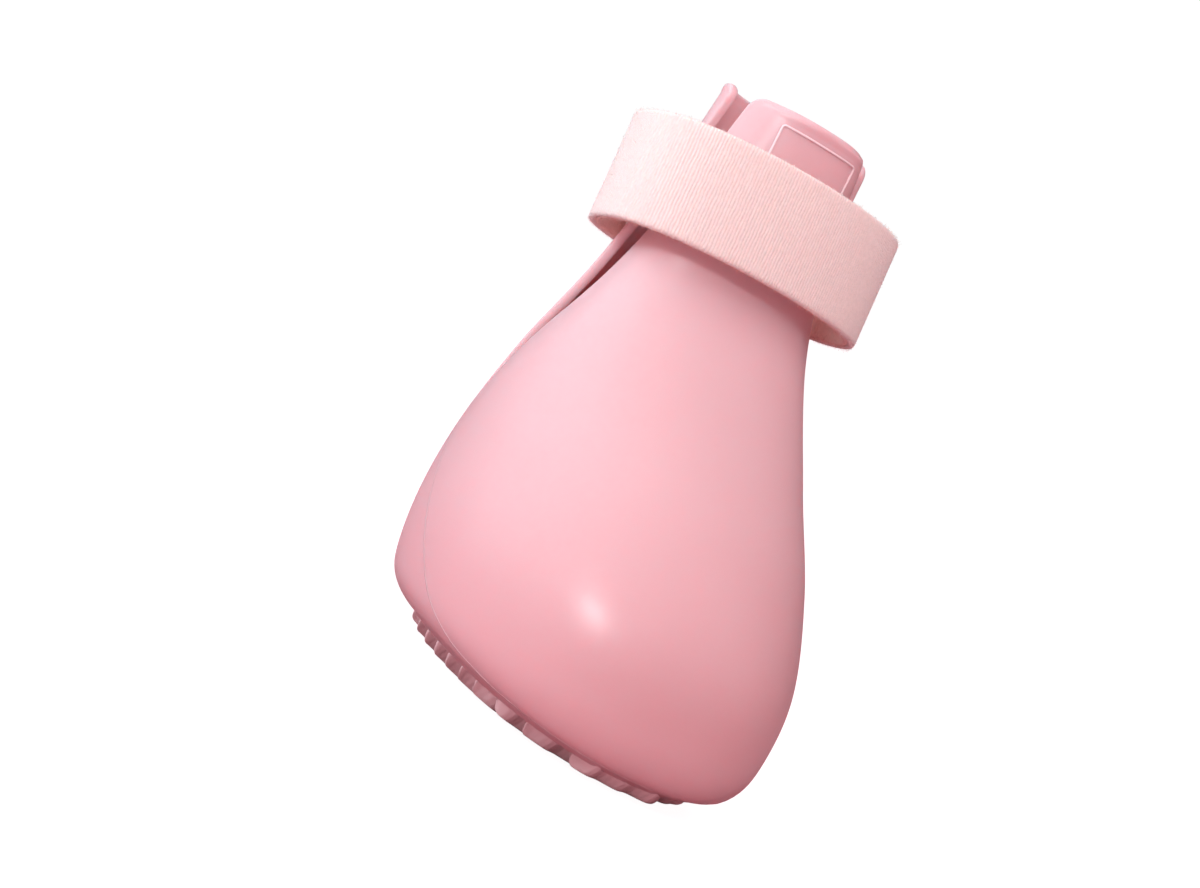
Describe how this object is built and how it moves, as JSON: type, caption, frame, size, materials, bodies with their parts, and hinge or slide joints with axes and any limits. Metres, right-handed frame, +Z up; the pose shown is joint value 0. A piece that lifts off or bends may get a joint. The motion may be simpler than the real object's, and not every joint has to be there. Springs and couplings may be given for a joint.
{
  "type": "dog boot",
  "caption": "Moulded silicone dog boot: bulb foot with lugged paw tread, slit flattened shaft and loose hook and loop strap.",
  "frame": {"origin": "middle of the tread, on the plane that the lugs stand on, under the paw's main pad", "axes": "+Z up from the tread to the collar, -Y towards the toe, +X to the side"},
  "size_m": [0.07, 0.0829, 0.1094],
  "materials": {
    "silicone": "satin",
    "loop_tape": "matt",
    "hook_tape": "matt"
  },
  "bodies": {
    "root": {"boot_shell": "silicone", "strap": "loop_tape", "hook_patch": "hook_tape"}
  },
  "joints": []
}
